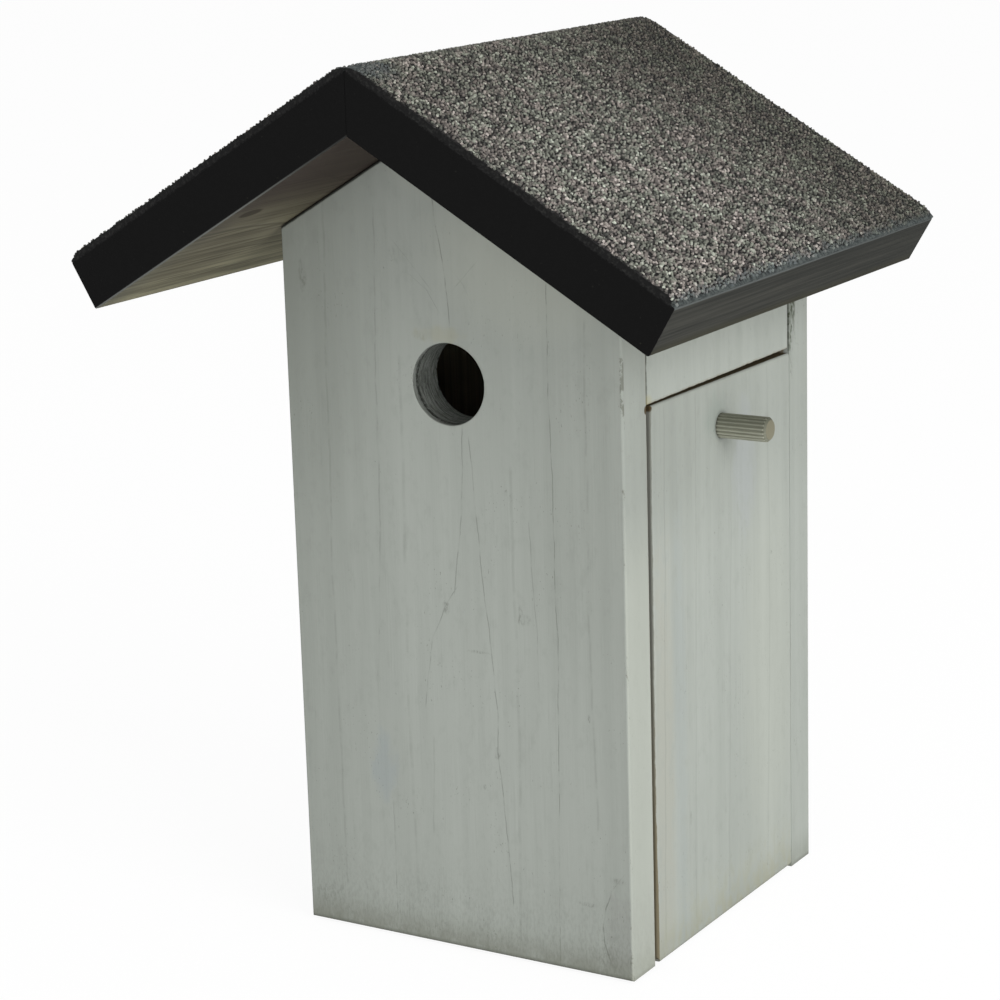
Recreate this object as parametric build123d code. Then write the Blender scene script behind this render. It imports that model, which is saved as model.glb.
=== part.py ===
from build123d import *
from math import cos, hypot, radians, sin, tan
import os

# Nest box with a felted saddle roof and a side door that falls open on two
# pins at its foot. Millimetres. X runs to the right seen from the front, the
# front faces -Y, Z is up, and the origin is the middle of the footprint on
# the surface the box stands on.

# The box
BOX_WIDTH = 151.0
BOX_DEPTH = 160.5
BOARD = 18.0
ARRIS = 1.0
FRONT_FOOT = 1.2

# The entrance hole in the front board
HOLE_DIAMETER = 32.0
HOLE_HEIGHT = 231.7
HOLE_OFFSET = -0.5
HOLE_ARRIS = 0.6

# The roof: two boards mitred at the ridge, under one bent sheet of felt
ROOF_PITCH = 30.5
ROOF_BOARD = 20.3
ROOF_ARRIS = 0.8
RIDGE_UNDERSIDE = 333.5
EAVE_OVERHANG_LEFT = 43.6
EAVE_OVERHANG_RIGHT = 44.8
FRONT_OVERHANG = 62.5
RIDGE_JOINT = 0.4
FELT = 3.0
FELT_BEND = 7.0
FELT_LIP = 0.8
FELT_BEVEL = 5.0
FRONT_UNDER_ROOF = 0.4

# The right side: a fixed strip under the eave and the door below it
STRIP_UNDERSIDE = 226.1
STRIP_GAP_FRONT = 0.7
STRIP_GAP_BACK = 1.2
DOOR_FOOT = 0.6
DOOR_GAP_TOP_FRONT = 0.8
DOOR_GAP_TOP_BACK = 2.0
DOOR_GAP_FRONT_HIGH = 4.0
DOOR_GAP_FRONT_LOW = 2.7
DOOR_GAP_BACK = 0.3
DOOR_HEEL = 6.0
DOOR_TOE = 2.0
DOOR_CORNER = 3.0

# The two steel pins that the door turns on
PIN_DIAMETER = 3.0
PIN_HEIGHT = 16.0
PIN_FROM_FACE = 6.0
PIN_SEAT = 14.0
PIN_REACH = 15.0
PIN_PLAY = 0.1
PIN_END_PLAY = 1.0

# The fluted peg that the door is pulled by
PEG_DIAMETER = 10.0
PEG_LENGTH = 40.0
PEG_PROUD = 21.5
PEG_BELOW_TOP = 19.0
PEG_CHAMFER = 1.2
PEG_FLUTES = 18
PEG_FLUTE_RADIUS = 0.7
PEG_FLUTE_DEPTH = 0.45

# The floor, cut short of the door's heel and drained
FLOOR_CLEAR = 1.0
DRAIN_DIAMETER = 6.0
DRAIN_FROM_WALL = 22.0

# The screw hole in the back board
SCREW_HOLE = 6.0
SCREW_HEIGHT = 270.0

slope = radians(ROOF_PITCH)
half_width = BOX_WIDTH / 2
front_face = -BOX_DEPTH / 2
back_face = BOX_DEPTH / 2
inner_front = front_face + BOARD
inner_back = back_face - BOARD
inner_side = half_width - BOARD
mid_depth = (inner_front + inner_back) / 2
pin_x = half_width - PIN_FROM_FACE


def under_roof(x):
    """Height of the roof's underside at a distance from the middle."""
    return RIDGE_UNDERSIDE - abs(x) * tan(slope)


def board_across(outline, start, end):
    """A board with its outline in X and Z, running from start to end in Y."""
    wire = Polyline([(x, start, z) for x, z in outline], close=True)
    return extrude(make_face(wire), amount=end - start, dir=(0, 1, 0))


def board_along(outline, start, end):
    """A board with its outline in Y and Z, running from start to end in X."""
    wire = Polyline([(start, y, z) for y, z in outline], close=True)
    return extrude(make_face(wire), amount=end - start, dir=(1, 0, 0))


def softened(solid, faces, radius):
    """The solid with the edges of the given faces worn round."""
    edges = ShapeList()
    for face in faces:
        edges += face.edges()
    return fillet(ShapeList(set(edges)), radius)


def rod(diameter, start, end, axis):
    """A round bar between two points on a line along an axis."""
    bar_plane = Plane(origin=start, z_dir=axis)
    return extrude(bar_plane * Circle(diameter / 2), amount=end)


def gable_board(start, end, foot, clearance):
    """A full-width end board with its top cut to the roof."""
    shoulder = under_roof(half_width) - clearance
    outline = [
        (-half_width, foot),
        (half_width, foot),
        (half_width, shoulder),
        (0, under_roof(0) - clearance),
        (-half_width, shoulder),
    ]
    return board_across(outline, start, end)


# Front board, a little short at both ends and worn round its outer face, with
# the entrance hole bored through
front_board = gable_board(front_face, inner_front, FRONT_FOOT, FRONT_UNDER_ROOF)
front_board = softened(front_board, front_board.faces().sort_by(Axis.Y)[:1], ARRIS)
hole_start = (HOLE_OFFSET, front_face, HOLE_HEIGHT)
front_board -= rod(HOLE_DIAMETER, hole_start, BOARD, (0, 1, 0))
hole_rim = front_board.edges().filter_by(GeomType.CIRCLE)
hole_rim = hole_rim.filter_by(lambda e: abs(e.radius - HOLE_DIAMETER / 2) < ARRIS)
front_board = fillet(hole_rim, HOLE_ARRIS)

# Back board, worn round its outer face, with one hole for a screw
back_board = gable_board(inner_back, back_face, 0, 0)
back_board = softened(back_board, back_board.faces().sort_by(Axis.Y)[-1:], ARRIS)
back_board -= rod(SCREW_HOLE, (0, inner_back, SCREW_HEIGHT), BOARD, (0, 1, 0))

# Left side board, between the end boards, its top cut to the roof
left_outline = [
    (-half_width, 0),
    (-inner_side, 0),
    (-inner_side, under_roof(inner_side)),
    (-half_width, under_roof(half_width)),
]
left_side_board = board_across(left_outline, inner_front, inner_back)

# Fixed strip on the right side, hung under the roof above the door
strip_outline = [
    (inner_side, STRIP_UNDERSIDE),
    (half_width, STRIP_UNDERSIDE),
    (half_width, under_roof(half_width)),
    (inner_side, under_roof(inner_side)),
]
strip_start = inner_front + STRIP_GAP_FRONT
strip_end = inner_back - STRIP_GAP_BACK
right_top_strip = board_across(strip_outline, strip_start, strip_end)
strip_edges = right_top_strip.faces().sort_by(Axis.X)[-1].edges()
strip_edges = strip_edges.sort_by(Axis.Z)[:-1]
right_top_strip = fillet(strip_edges, ARRIS)

# Door: a board a little out of square, as it hangs in its opening, with its
# foot worn round along both faces and its front lower corner lost
front_door_edge = inner_front + DOOR_GAP_FRONT_LOW
back_door_edge = inner_back - DOOR_GAP_BACK
door_outline = [
    (front_door_edge, DOOR_FOOT),
    (back_door_edge, DOOR_FOOT),
    (back_door_edge, STRIP_UNDERSIDE - DOOR_GAP_TOP_BACK),
    (inner_front + DOOR_GAP_FRONT_HIGH, STRIP_UNDERSIDE - DOOR_GAP_TOP_FRONT),
]
door = board_along(door_outline, inner_side, half_width)
foot_edges = door.faces().sort_by(Axis.Z)[0].edges().filter_by(Axis.Y).sort_by(Axis.X)
door = fillet(foot_edges[0], DOOR_HEEL)
foot_edges = door.edges().filter_by(Axis.Y).group_by(Axis.Z)[0].sort_by(Axis.X)
door = fillet(foot_edges[-1], DOOR_TOE)
outer_edges = door.faces().sort_by(Axis.X)[-1].edges()
outer_edges = outer_edges.sort_by(Axis.Z)[1:]
door = fillet(outer_edges.sort_by(Axis.Y)[:-1], ARRIS)
lost_corner = [
    (front_door_edge, DOOR_FOOT),
    (front_door_edge + DOOR_CORNER, DOOR_FOOT),
    (front_door_edge, DOOR_FOOT + DOOR_CORNER),
]
door -= board_along(lost_corner, inner_side, half_width)

# Pins, driven into the end boards and standing into the door's edges
front_pin_start = (pin_x, inner_front - PIN_SEAT, PIN_HEIGHT)
front_pin_length = PIN_SEAT + DOOR_GAP_FRONT_LOW + PIN_REACH
hinge_pin_front = rod(PIN_DIAMETER, front_pin_start, front_pin_length, (0, 1, 0))
back_pin_start = (pin_x, inner_back + PIN_SEAT, PIN_HEIGHT)
back_pin_length = PIN_SEAT + DOOR_GAP_BACK + PIN_REACH
hinge_pin_back = rod(PIN_DIAMETER, back_pin_start, back_pin_length, (0, -1, 0))
front_board -= hinge_pin_front
back_board -= hinge_pin_back
pin_bore = PIN_DIAMETER + 2 * PIN_PLAY
bore_depth = PIN_REACH + PIN_END_PLAY
door -= rod(pin_bore, (pin_x, front_door_edge - BOARD, PIN_HEIGHT), BOARD + bore_depth, (0, 1, 0))
door -= rod(pin_bore, (pin_x, back_door_edge + BOARD, PIN_HEIGHT), BOARD + bore_depth, (0, -1, 0))

# Peg: a round dowel with flutes rolled along it and both ends chamfered
peg_start = half_width + PEG_PROUD - PEG_LENGTH
peg_height = STRIP_UNDERSIDE - DOOR_GAP_TOP_FRONT - PEG_BELOW_TOP
peg_plane = Plane(origin=(peg_start, mid_depth, peg_height), x_dir=(0, 1, 0), z_dir=(1, 0, 0))
flute_centre = PEG_DIAMETER / 2 + PEG_FLUTE_RADIUS - PEG_FLUTE_DEPTH
peg_section = Circle(PEG_DIAMETER / 2)
peg_section -= PolarLocations(flute_centre, PEG_FLUTES) * Circle(PEG_FLUTE_RADIUS)
peg_blank = Cylinder(PEG_DIAMETER / 2, PEG_LENGTH, align=(Align.CENTER, Align.CENTER, Align.MIN))
peg_blank = chamfer(peg_blank.edges(), PEG_CHAMFER)
door_peg = peg_plane * (extrude(peg_section, amount=PEG_LENGTH) & peg_blank)
door -= rod(PEG_DIAMETER, (inner_side, mid_depth, peg_height), BOARD, (1, 0, 0))

# Floor, between the end boards, clear of the door's heel as it swings in
heel_x = BOARD - PIN_FROM_FACE - DOOR_HEEL
heel_z = PIN_HEIGHT - DOOR_FOOT - DOOR_HEEL
heel_reach = hypot(heel_x, heel_z) + DOOR_HEEL
floor_edge = pin_x - heel_reach - FLOOR_CLEAR
floor_outline = [
    (-inner_side, 0),
    (floor_edge, 0),
    (floor_edge, BOARD),
    (-inner_side, BOARD),
]
floor_board = board_across(floor_outline, inner_front, inner_back)
for x in (-inner_side + DRAIN_FROM_WALL, floor_edge - DRAIN_FROM_WALL):
    for y in (inner_front + DRAIN_FROM_WALL, inner_back - DRAIN_FROM_WALL):
        floor_board -= rod(DRAIN_DIAMETER, (x, y, 0), BOARD, (0, 0, 1))

# Roof boards, cut plumb at the ridge and square at the eaves
roof_start = front_face - FRONT_OVERHANG
eaves = {-1: half_width + EAVE_OVERHANG_LEFT, 1: half_width + EAVE_OVERHANG_RIGHT}
felt_top = ROOF_BOARD + FELT


def ridge_point(x, layer):
    """A point beside the ridge on a layer, which counts square to the slope."""
    return (x, under_roof(x) + layer / cos(slope))


def eave_point(side, layer, back=0):
    """A point on a layer of the roof, a distance up the slope from the square
    cut of the eave on that side."""
    x = eaves[side] + layer * sin(slope) - back * cos(slope)
    return (side * x, under_roof(x) + layer / cos(slope))


def roof_board(side):
    """One roof board with its two long eave edges worn round."""
    outline = [
        ridge_point(side * RIDGE_JOINT / 2, 0),
        ridge_point(side * RIDGE_JOINT / 2, ROOF_BOARD),
        eave_point(side, ROOF_BOARD),
        eave_point(side, 0),
    ]
    board = board_across(outline, roof_start, back_face)
    eave_edges = board.edges().filter_by(Axis.Y)
    eave_edges = eave_edges.filter_by(lambda e: abs(e.center().X) > half_width)
    return fillet(eave_edges, ROOF_ARRIS)


roof_board_left = roof_board(-1)
roof_board_right = roof_board(1)

# Felt: one sheet laid over both boards, bent at the ridge and cut back to a
# thin lip at the eaves
lip = ROOF_BOARD + FELT_LIP
felt_outline = [
    eave_point(-1, ROOF_BOARD),
    ridge_point(0, ROOF_BOARD),
    eave_point(1, ROOF_BOARD),
    eave_point(1, lip),
    eave_point(1, felt_top, FELT_BEVEL),
    ridge_point(0, felt_top),
    eave_point(-1, felt_top, FELT_BEVEL),
    eave_point(-1, lip),
]
roof_felt = board_across(felt_outline, roof_start, back_face)
ridge_edge = roof_felt.edges().filter_by(Axis.Y).sort_by(Axis.Z)[-1]
roof_felt = fillet(ridge_edge, FELT_BEND)

nodes = {
    "front_board": front_board,
    "back_board": back_board,
    "left_side_board": left_side_board,
    "right_top_strip": right_top_strip,
    "door": door,
    "door_peg": door_peg,
    "hinge_pin_front": hinge_pin_front,
    "hinge_pin_back": hinge_pin_back,
    "floor_board": floor_board,
    "roof_board_left": roof_board_left,
    "roof_board_right": roof_board_right,
    "roof_felt": roof_felt,
}

os.makedirs("parts", exist_ok=True)
for name, solid in nodes.items():
    export_step(solid, "parts/" + name + ".step")
    box = solid.bounding_box()
    low = tuple(round(v, 1) for v in box.min)
    high = tuple(round(v, 1) for v in box.max)
    print(name, round(solid.volume), low, high)
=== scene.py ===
import math

import bmesh
import bpy
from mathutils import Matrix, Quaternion, Vector, noise


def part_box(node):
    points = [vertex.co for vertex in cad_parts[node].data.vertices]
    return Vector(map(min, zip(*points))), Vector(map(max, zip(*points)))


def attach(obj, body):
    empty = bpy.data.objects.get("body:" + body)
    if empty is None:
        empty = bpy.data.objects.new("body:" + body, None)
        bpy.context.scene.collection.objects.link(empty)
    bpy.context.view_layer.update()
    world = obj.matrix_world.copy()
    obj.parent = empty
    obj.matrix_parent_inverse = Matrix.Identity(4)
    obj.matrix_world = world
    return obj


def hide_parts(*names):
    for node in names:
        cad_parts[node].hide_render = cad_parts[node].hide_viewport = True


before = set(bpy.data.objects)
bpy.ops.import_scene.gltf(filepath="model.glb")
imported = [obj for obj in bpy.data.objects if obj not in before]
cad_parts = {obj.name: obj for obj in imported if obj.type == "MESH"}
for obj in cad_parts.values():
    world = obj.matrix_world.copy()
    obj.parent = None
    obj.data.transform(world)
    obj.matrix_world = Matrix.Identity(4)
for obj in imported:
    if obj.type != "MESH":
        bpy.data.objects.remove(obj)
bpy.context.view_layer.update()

# Studio
# The box stands on a pale floor. One broad soft lamp stands high on the side of
# its door, and a weaker one low in front lights the gable under the roof.


def part_node(tree, kind, inputs=None, **settings):
    """Adds one shader or geometry node. Inputs are values or sockets to link."""
    made = tree.nodes.new(kind)
    for name, value in settings.items():
        setattr(made, name, value)
    for key, value in (inputs or {}).items():
        socket = made.inputs[key]
        if isinstance(value, bpy.types.NodeSocket):
            tree.links.new(value, socket)
        else:
            socket.default_value = value
    return made


def worked_out(tree, operation, *values):
    """One step of arithmetic on sockets or numbers; gives its socket."""
    return part_node(tree, "ShaderNodeMath", dict(enumerate(values)), operation=operation).outputs[0]


def product_of(tree, first, second):
    """Two sockets or numbers, multiplied."""
    return worked_out(tree, "MULTIPLY", first, second)


def larger_of(tree, first, second):
    """The larger of two sockets or numbers."""
    return worked_out(tree, "MAXIMUM", first, second)


def tone(red, green, blue):
    """A colour given as it looks on screen, 0 to 255, for a shader's socket."""
    linear = []
    for level in (red, green, blue):
        share = level / 255
        linear.append(share / 12.92 if share <= 0.04045 else ((share + 0.055) / 1.055) ** 2.4)
    return (*linear, 1.0)


FLOOR_REACH = 14.0
FLOOR_ALBEDO = 0.9
FLOOR_GLOW = 0.88
FLOOR_LEVEL = 1.05
SKY_LEVEL = 0.5

floor_mesh = bpy.data.meshes.new("studio_floor")
corners = [(x * FLOOR_REACH, y * FLOOR_REACH, 0) for x, y in ((-1, -1), (1, -1), (1, 1), (-1, 1))]
floor_mesh.from_pydata(corners, [], [(0, 1, 2, 3)])
studio_floor = bpy.data.objects.new("studio_floor", floor_mesh)
bpy.context.scene.collection.objects.link(studio_floor)

floor_paint = bpy.data.materials.new("studio_floor")
floor_paint.use_nodes = True
tree = floor_paint.node_tree
tree.nodes.clear()
seen = part_node(tree, "ShaderNodeLightPath")
matt = part_node(tree, "ShaderNodeBsdfDiffuse", {"Color": (FLOOR_ALBEDO, FLOOR_ALBEDO, FLOOR_ALBEDO, 1)})
glow = part_node(tree, "ShaderNodeEmission", {"Color": (1, 1, 1, 1), "Strength": FLOOR_LEVEL})
glow_share = product_of(tree, seen.outputs["Is Camera Ray"], FLOOR_GLOW)
floor_mix = part_node(tree, "ShaderNodeMixShader", {0: glow_share, 1: matt.outputs[0], 2: glow.outputs[0]})
part_node(tree, "ShaderNodeOutputMaterial", {"Surface": floor_mix.outputs[0]})
floor_mesh.materials.append(floor_paint)

sky = bpy.data.worlds.new("studio_sky")
sky.use_nodes = True
bpy.context.scene.world = sky
tree = sky.node_tree
tree.nodes.clear()
seen = part_node(tree, "ShaderNodeLightPath")
mirrored = larger_of(tree, seen.outputs["Is Glossy Ray"], seen.outputs["Is Transmission Ray"])
shown = larger_of(tree, seen.outputs["Is Camera Ray"], mirrored)
level = part_node(tree, "ShaderNodeMapRange", {"Value": shown, "To Min": SKY_LEVEL, "To Max": 1.0})
lit = part_node(tree, "ShaderNodeBackground", {"Color": (1, 1, 1, 1), "Strength": level.outputs[0]})
part_node(tree, "ShaderNodeOutputWorld", {"Surface": lit.outputs[0]})


def soft_lamp(name, place, aim, size, watts):
    """A square lamp that points from its place at a point of the box."""
    lamp = bpy.data.lights.new(name, "AREA")
    lamp.shape = "SQUARE"
    lamp.size = size
    lamp.energy = watts
    stand = bpy.data.objects.new(name, lamp)
    stand.location = place
    stand.rotation_mode = "QUATERNION"
    stand.rotation_quaternion = (Vector(aim) - Vector(place)).to_track_quat("-Z", "Y")
    bpy.context.scene.collection.objects.link(stand)


BOX_MIDDLE = (0, 0, 0.18)
soft_lamp("lamp_door_side", place=(2.7, -0.95, 1.1), aim=BOX_MIDDLE, size=2.0, watts=53)
soft_lamp("lamp_low_front", place=(0.9, -2.8, 0.45), aim=BOX_MIDDLE, size=1.6, watts=19.5)

CAMERA_AIM = Vector((-0.0145, -0.0215, 0.1716))
CAMERA_DISTANCE = 1.1704
CAMERA_AZIMUTH = math.radians(31.373)
CAMERA_ELEVATION = math.radians(13.767)
CAMERA_ROLL = math.radians(-1.678)
CAMERA_LENS = 103.62

camera = bpy.data.cameras.new("photo_camera")
camera.lens = CAMERA_LENS
camera.sensor_width = 36
camera.clip_start = 0.05
camera.clip_end = 60
camera_stand = bpy.data.objects.new("photo_camera", camera)
away = Vector((
    math.sin(CAMERA_AZIMUTH) * math.cos(CAMERA_ELEVATION),
    -math.cos(CAMERA_AZIMUTH) * math.cos(CAMERA_ELEVATION),
    math.sin(CAMERA_ELEVATION),
))
camera_stand.location = CAMERA_AIM + away * CAMERA_DISTANCE
camera_stand.rotation_mode = "QUATERNION"
camera_stand.rotation_quaternion = (-away).to_track_quat("-Z", "Y") @ Quaternion((0, 0, 1), CAMERA_ROLL)
bpy.context.scene.collection.objects.link(camera_stand)
bpy.context.scene.camera = camera_stand
bpy.context.scene.view_settings.view_transform = "Standard"

# Floor board
# Sawn softwood, left bare inside the box. It is nailed between the boards,
# stops short of the door's heel, and drains through four drilled holes.


def sum_of(tree, first, second):
    """Two sockets or numbers, added."""
    return worked_out(tree, "ADD", first, second)


def blended(tree, share, first, second, mode="MIX"):
    """Two colours mixed by a share; gives the colour's socket."""
    made = part_node(tree, "ShaderNodeMix", data_type="RGBA", blend_type=mode)
    for key, value in ((0, share), (6, first), (7, second)):
        if isinstance(value, bpy.types.NodeSocket):
            tree.links.new(value, made.inputs[key])
        else:
            made.inputs[key].default_value = value
    return made.outputs[2]


def between(tree, value, low, high, start=0.0, end=1.0):
    """A smooth step of a value between two levels."""
    made = part_node(
        tree, "ShaderNodeMapRange",
        {"Value": value, "From Min": low, "From Max": high, "To Min": start, "To Max": end},
        interpolation_type="SMOOTHSTEP",
    )
    return made.outputs[0]


def grain_noise(tree, place, counts, shift=(0, 0, 0), detail=3.0, rough=0.55):
    """Noise with a count of waves per metre on X, Y and Z."""
    mapped = part_node(tree, "ShaderNodeMapping", {"Vector": place, "Location": shift, "Scale": counts})
    made = part_node(
        tree, "ShaderNodeTexNoise",
        {"Vector": mapped.outputs[0], "Scale": 1.0, "Detail": detail, "Roughness": rough},
    )
    return made.outputs["Fac"]


def wood_surface(tree, colour, height, roughness=0.85, depth=0.0002, sheen=0.25):
    """A dry, matt wood surface from a colour and a height."""
    relief = part_node(tree, "ShaderNodeBump", {"Strength": 0.5, "Distance": depth, "Height": height})
    shader = part_node(
        tree, "ShaderNodeBsdfPrincipled",
        {"Base Color": colour, "Roughness": roughness, "Specular IOR Level": sheen,
         "Normal": relief.outputs[0]},
    )
    part_node(tree, "ShaderNodeOutputMaterial", {"Surface": shader.outputs[0]})


FIBRES_ACROSS = 900.0
FIBRES_ALONG = 14.0
RINGS_ACROSS = 110.0
RINGS_ALONG = 2.5


def bare_wood(tree, place, along, dark, light, seed):
    """Colour and height of bare softwood whose grain runs along X, Y or Z."""
    fine = [FIBRES_ALONG if axis == along else FIBRES_ACROSS for axis in "XYZ"]
    broad = [RINGS_ALONG if axis == along else RINGS_ACROSS for axis in "XYZ"]
    shift = (seed * 3.1, seed * 1.7, seed * 2.3)
    streak = grain_noise(tree, place, fine, shift)
    ring = grain_noise(tree, place, broad, shift)
    share = sum_of(tree, product_of(tree, streak, 0.5), product_of(tree, ring, 0.5))
    return blended(tree, between(tree, share, 0.38, 0.62), dark, light), streak


def new_material(name):
    """An empty material, its node tree and the place on the piece."""
    made = bpy.data.materials.new(name)
    made.use_nodes = True
    made.node_tree.nodes.clear()
    place = part_node(made.node_tree, "ShaderNodeTexCoord").outputs["Object"]
    return made, made.node_tree, place


def finish_node(name, material):
    """Gives a CAD node its material."""
    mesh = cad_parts[name].data
    mesh.materials.clear()
    mesh.materials.append(material)


BARE_DARK = tone(110, 101, 86)
BARE_LIGHT = tone(137, 127, 110)

bare_board, tree, place = new_material("bare_board")
colour, height = bare_wood(tree, place, "Y", BARE_DARK, BARE_LIGHT, 1)
wood_surface(tree, colour, height)
finish_node("floor_board", bare_board)

# Front board
# Planed softwood, grain upright, brushed outside with a thin grey-green wash
# that lets the figure show. The entrance hole is bored with a saw-toothed bit
# that leaves rings in its wall. Painted shade darkens the board's upper left
# part and its top under the roof, and its right side face has painted light and shade.

WASH_DARK = tone(165, 170, 163)
WASH_LIGHT = tone(173, 178, 171)
# The colour of late-wood grain, also used for painted shade on the washed boards.
WASH_GRAIN_AND_SHADE = tone(108, 112, 104)
WASH_DIRT = tone(108, 108, 92)
WASH_PALE = tone(192, 196, 184)
WASH_MARK = tone(88, 90, 80)
WASH_FOOT = 0.0022
WASH_SPLASH = 0.016

front_low, front_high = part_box("front_board")
HALF_WIDTH = front_high.x
FRONT_FACE = front_low.y
BOARD = front_high.y - front_low.y
ROOF_PITCH = math.radians(30.5)
RIDGE_UNDERSIDE = 0.3335
HOLE_X = -0.0005
HOLE_Z = 0.2317
HOLE_RADIUS = 0.016
LINE_WANDER = 0.0044
LINE_CORE = 0.00008
LINE_EDGE = 0.00034


def difference_of(tree, first, second):
    """The second of two sockets or numbers, taken from the first."""
    return worked_out(tree, "SUBTRACT", first, second)


def either_way(tree, value):
    """A value without its sign."""
    return worked_out(tree, "ABSOLUTE", value)


def distance_of(tree, first, second):
    """How far a point lies from an axis, from its two distances."""
    square = sum_of(tree, product_of(tree, first, first), product_of(tree, second, second))
    return worked_out(tree, "POWER", square, 0.5)


def swing_of(tree, wave, size):
    """Noise made to swing about nought."""
    return product_of(tree, difference_of(tree, wave, 0.5), size)


def axes_of(tree, place):
    """A place's three sockets: across the box, from front to back, and up."""
    return tuple(part_node(tree, "ShaderNodeSeparateXYZ", {0: place}).outputs)


def laid_over(tree, colour, coat, mask, strength):
    """A colour with a coat of another over it, where a mask says."""
    return blended(tree, product_of(tree, mask, strength), colour, coat)


def wash_base(tree, place, seed, streaks=1.0):
    """The wash over upright grain: its colour, and the fine grain as a height."""
    shift = (seed * 2.7, seed * 1.9, seed * 0.7)
    broad = grain_noise(tree, place, (26.0, 26.0, 5.0), shift, 2.0)
    fine = grain_noise(tree, place, (1300.0, 1300.0, 26.0), shift)
    cloud = grain_noise(tree, place, (240.0, 240.0, 120.0), shift, 5.0, 0.65)
    brushed = grain_noise(tree, place, (160.0, 160.0, 5.0), shift, 2.0)
    share = sum_of(tree, product_of(tree, broad, 0.5), product_of(tree, brushed, 0.5))
    colour = blended(tree, between(tree, share, 0.32, 0.68), WASH_DARK, WASH_LIGHT)
    colour = blended(tree, between(tree, fine, 0.54, 0.8, 0.0, 0.09 * streaks), colour, WASH_GRAIN_AND_SHADE)
    colour = blended(tree, between(tree, cloud, 0.5, 0.72, 0.0, 0.1), colour, WASH_GRAIN_AND_SHADE)
    pore = grain_noise(tree, place, (1500.0, 1500.0, 700.0), shift, 1.0)
    sparse = grain_noise(tree, place, (60.0, 60.0, 40.0), (seed * 1.3, 0, 4.0), 2.0)
    pores = product_of(tree, between(tree, pore, 0.7, 0.74), between(tree, sparse, 0.5, 0.62))
    colour = laid_over(tree, colour, WASH_MARK, pores, 0.45)
    height = sum_of(tree, fine, product_of(tree, cloud, 0.8))
    return colour, height, cloud


def line_wander(tree, place, seed):
    """How far a line of late wood strays sideways on its way up the board."""
    slow = grain_noise(tree, place, (0.0, 0.0, 20.0), (0, 0, seed * 3.7), 5.0, 0.6)
    return swing_of(tree, slow, LINE_WANDER)


def grain_line(tree, across, height, wander, points, width):
    """A line of late wood through points given as places across and up the
    board in millimetres; gives its mask."""
    line = None
    for (x0, z0), (x1, z1) in zip(points, points[1:]):
        lean = (x1 - x0) / (z1 - z0)
        offset = (x0 - z0 * lean) / 1000
        on_line = sum_of(tree, product_of(tree, height, lean), offset)
        off = either_way(tree, sum_of(tree, difference_of(tree, across, on_line), wander))
        mask = between(tree, off, width * LINE_CORE, width * LINE_EDGE, 1.0, 0.0)
        low, high = min(z0, z1) / 1000, max(z0, z1) / 1000
        mask = product_of(tree, mask, between(tree, height, low - 0.003, low + 0.001))
        mask = product_of(tree, mask, between(tree, height, high - 0.001, high + 0.003, 1.0, 0.0))
        line = mask if line is None else larger_of(tree, line, mask)
    return line


def lined(tree, across, height, wander, colour, lines, broken=1.0):
    """Lines of late wood over a board's colour, each with its strength, width
    and points, and paler where they are broken."""
    for strength, width, points in lines:
        line = grain_line(tree, across, height, wander, points, width)
        colour = laid_over(tree, colour, WASH_GRAIN_AND_SHADE, product_of(tree, line, broken), strength)
    return colour


def spot(tree, across, height, ragged, place, size, soft=0.9):
    """A soft-edged patch at a place, with its half size, in millimetres."""
    far = []
    for axis, middle, half in ((across, place[0], size[0]), (height, place[1], size[1])):
        off = product_of(tree, difference_of(tree, axis, middle / 1000), 1000 / half)
        far.append(product_of(tree, off, off))
    reach = sum_of(tree, sum_of(tree, far[0], far[1]), ragged)
    return between(tree, reach, 0.9 - soft, 0.9 + soft, 1.0, 0.0)


def patched(tree, across, height, ragged, colour, patches):
    """Soft-edged patches over a board's colour, each with its strength, tone,
    place, half size and softness where it isn't the usual one."""
    for strength, patch_tone, *where in patches:
        colour = laid_over(tree, colour, patch_tone, spot(tree, across, height, ragged, *where), strength)
    return colour


def speck_mask(tree, place):
    """The fine, broken specks that dirt leaves on a brushed board."""
    speck = grain_noise(tree, place, (1000.0, 1000.0, 420.0), (8, 3, 5), 5.0, 0.7)
    return between(tree, speck, 0.42, 0.64, 0.15, 1.0)


def marked(tree, across, height, ragged, specks, colour, marks):
    """Small speckled marks, each with its strength, place and half size."""
    for strength, where, size in marks:
        mark = product_of(tree, spot(tree, across, height, ragged, where, size), strength)
        colour = laid_over(tree, colour, WASH_MARK, mark, specks)
    return colour


def raw_inside(tree, place, axis, sign, face, colour, seed):
    """Bare wood on the inner face of a washed board."""
    raw, _ = bare_wood(tree, place, "Z", BARE_DARK, BARE_LIGHT, seed)
    outward = product_of(tree, axis, sign)
    inside = between(tree, outward, face - BOARD + 0.00003, face - BOARD + 0.0001, 1.0, 0.0)
    return blended(tree, inside, colour, raw)


def foot_dirt(tree, height, cloud, colour, low, strength=1.0):
    """Splashes low on a board and a dirty line along its lower end."""
    uneven = swing_of(tree, cloud, 0.014)
    up = difference_of(tree, height, low)
    splash = between(tree, sum_of(tree, up, uneven), 0.0, WASH_SPLASH, 0.46 * strength, 0.0)
    line_up = sum_of(tree, up, product_of(tree, uneven, 0.1))
    line = between(tree, line_up, 0.0005, WASH_FOOT, 0.5 * strength, 0.0)
    blots = between(tree, cloud, 0.36, 0.6, 0.6, 1.15)
    colour = laid_over(tree, colour, WASH_DIRT, splash, blots)
    return blended(tree, line, colour, WASH_MARK)


# Painted light and shade on the front: paler patches under the roof, darker ones at the upper left and on the
# right.
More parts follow.
